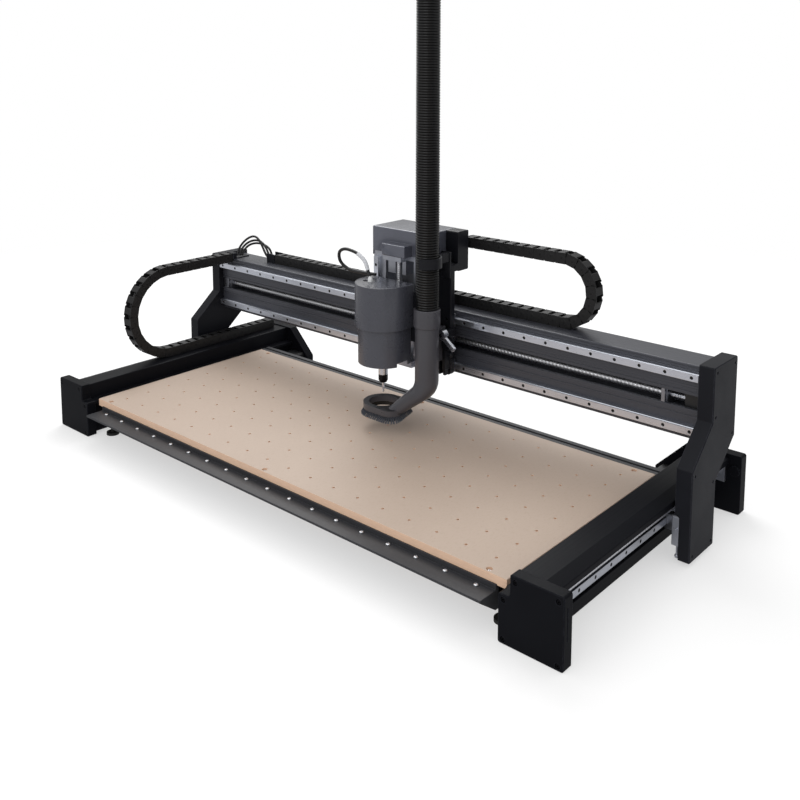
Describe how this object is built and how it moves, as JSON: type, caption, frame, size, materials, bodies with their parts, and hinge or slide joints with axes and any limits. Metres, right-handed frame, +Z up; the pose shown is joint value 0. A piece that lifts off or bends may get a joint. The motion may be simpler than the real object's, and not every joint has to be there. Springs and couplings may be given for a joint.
{
  "type": "cnc router",
  "caption": "Gantry CNC router with a fibreboard bed, ball-screw axes, cable chains, a vertical spindle and a height-adjustable dust shoe with a hose.",
  "frame": {"origin": "centre of the spoilboard's top face", "axes": "+X along the gantry to the machine's right, +Y to the rear, +Z up"},
  "size_m": [1.664, 0.787, 1.221],
  "materials": {
    "dark_plate": "black anodised, fine satin",
    "dark_extrusion": "black anodised extrusion, satin",
    "ground_steel": "ground and oiled",
    "bright_steel": "bright",
    "motor_black": "satin black",
    "belt": "matte",
    "board": "raw fibreboard",
    "insert_metal": "dull",
    "foot_rubber": "matte",
    "chain_plastic": "satin moulded plastic",
    "cable_black": "satin",
    "cover_plastic": "satin moulded plastic",
    "bristle": "blue-grey nylon bristles",
    "hose_plastic": "gloss black"
  },
  "bodies": {
    "frame": {"front_end_caps": "dark_plate", "rear_end_caps": "dark_plate", "rear_cap_covers": "dark_plate", "side_beams": "dark_extrusion", "y_rails": "ground_steel", "y_screw_bearings": "ground_steel", "y_motors": "motor_black", "y_drive_belts": "belt", "cross_members": "dark_extrusion", "front_nose": "dark_extrusion", "wasteboard": "board", "threaded_inserts": "insert_metal", "frame_screws": "bright_steel", "levelling_feet": "foot_rubber", "y_chain_lower_run": "chain_plastic"},
    "y_screw_left": {"y_screw_left": "ground_steel"},
    "y_screw_right": {"y_screw_right": "ground_steel"},
    "y_motor_pulley_left": {"y_motor_pulley_left": "bright_steel"},
    "y_motor_pulley_right": {"y_motor_pulley_right": "bright_steel"},
    "gantry": {"gantry_leg_left": "dark_plate", "gantry_leg_right": "dark_plate", "gantry_beam": "dark_extrusion", "x_rails": "ground_steel", "x_screw_bearings": "ground_steel", "x_motor": "motor_black", "y_carriage_plates": "ground_steel", "y_linear_blocks": "ground_steel", "y_ball_nuts": "ground_steel", "x_chain_lower_run": "chain_plastic", "y_chain_upper_run": "chain_plastic", "chain_brackets": "dark_plate", "gantry_cables": "cable_black"},
    "x_screw": {"x_screw": "ground_steel"},
    "x_chain_loop": {"x_chain_loop": "chain_plastic"},
    "y_chain_loop": {"y_chain_loop": "chain_plastic"},
    "x_carriage": {"x_carriage_plate": "dark_plate", "x_linear_blocks": "ground_steel", "x_ball_nut": "ground_steel", "z_column": "ground_steel", "z_rails": "ground_steel", "z_motor": "motor_black", "z_top_cover": "dark_plate", "x_chain_upper_run": "chain_plastic", "chain_junction_box": "dark_plate", "dust_arm_bracket": "dark_plate", "hose_clip": "cover_plastic"},
    "z_screw": {"z_screw": "ground_steel"},
    "z_slide": {"z_slide_plate": "dark_plate", "z_linear_blocks": "ground_steel", "z_ball_nut": "ground_steel", "spindle_motor": "bright_steel", "spindle_housing": "cover_plastic", "spindle_cable": "cable_black"},
    "spindle_rotor": {"collet_nut": "bright_steel", "router_bit": "bright_steel"},
    "dust_shoe": {"dust_shoe": "cover_plastic", "brush_ring": "bristle", "hose_collar": "cover_plastic", "dust_hose": "hose_plastic"},
    "clamp_lever": {"clamp_lever": "bright_steel"}
  },
  "joints": [
    {"name": "y_travel", "type": "slide", "parent": "frame", "child": "gantry", "axis": [0, 1, 0], "range_m": [-0.42, 0.17]},
    {"name": "x_travel", "type": "slide", "parent": "gantry", "child": "x_carriage", "axis": [1, 0, 0], "range_m": [-0.64, 0.58]},
    {"name": "z_travel", "type": "slide", "parent": "x_carriage", "child": "z_slide", "axis": [0, 0, 1], "range_m": [-0.07, 0.02]},
    {"name": "spindle_spin", "type": "hinge", "parent": "z_slide", "child": "spindle_rotor", "pos_m": [0.03, 0.09, 0.12], "axis": [0, 0, 1], "continuous": true},
    {"name": "shoe_height", "type": "slide", "parent": "x_carriage", "child": "dust_shoe", "axis": [0, 0, 1], "range_m": [-0.034, 0.036]},
    {"name": "lever_turn", "type": "hinge", "parent": "x_carriage", "child": "clamp_lever", "pos_m": [0.164, 0.152, 0.248], "axis": [0, -1, 0], "range_deg": [0, 75]},
    {"name": "y_screw_left_turn", "type": "hinge", "parent": "frame", "child": "y_screw_left", "pos_m": [-0.762, 0, -0.009], "axis": [0, 1, 0], "range_deg": [-3061, 7561]},
    {"name": "y_screw_right_turn", "type": "hinge", "parent": "frame", "child": "y_screw_right", "pos_m": [0.762, 0, -0.009], "axis": [0, 1, 0], "range_deg": [-3061, 7561]},
    {"name": "y_pulley_left_turn", "type": "hinge", "parent": "frame", "child": "y_motor_pulley_left", "pos_m": [-0.655, 0.437, -0.062], "axis": [0, 1, 0], "range_deg": [-3061, 7561]},
    {"name": "y_pulley_right_turn", "type": "hinge", "parent": "frame", "child": "y_motor_pulley_right", "pos_m": [0.655, 0.437, -0.062], "axis": [0, 1, 0], "range_deg": [-3061, 7561]},
    {"name": "x_screw_turn", "type": "hinge", "parent": "gantry", "child": "x_screw", "pos_m": [0, 0.272, 0.2035], "axis": [1, 0, 0], "range_deg": [-10441, 11521]},
    {"name": "z_screw_turn", "type": "hinge", "parent": "x_carriage", "child": "z_screw", "pos_m": [0.03, 0.15, 0.3], "axis": [0, 0, 1], "range_deg": [-721, 2522]},
    {"name": "x_chain_shift", "type": "slide", "parent": "gantry", "child": "x_chain_loop", "axis": [1, 0, 0], "range_m": [-0.3201, 0.2901], "deforming": ["x_chain_lower_run", "x_chain_upper_run"]},
    {"name": "y_chain_shift", "type": "slide", "parent": "frame", "child": "y_chain_loop", "axis": [0, 1, 0], "range_m": [-0.2101, 0.0851], "deforming": ["y_chain_lower_run", "y_chain_upper_run"]}
  ],
  "couplings": [
    {"joint": "y_screw_left_turn", "follows": "y_travel", "rad_per_m": -314.16},
    {"joint": "y_screw_right_turn", "follows": "y_travel", "rad_per_m": -314.16},
    {"joint": "y_pulley_left_turn", "follows": "y_travel", "rad_per_m": -314.16},
    {"joint": "y_pulley_right_turn", "follows": "y_travel", "rad_per_m": -314.16},
    {"joint": "x_screw_turn", "follows": "x_travel", "rad_per_m": -314.16},
    {"joint": "z_screw_turn", "follows": "z_travel", "rad_per_m": -628.32},
    {"joint": "x_chain_shift", "follows": "x_travel", "ratio": 0.5},
    {"joint": "y_chain_shift", "follows": "y_travel", "ratio": 0.5}
  ]
}
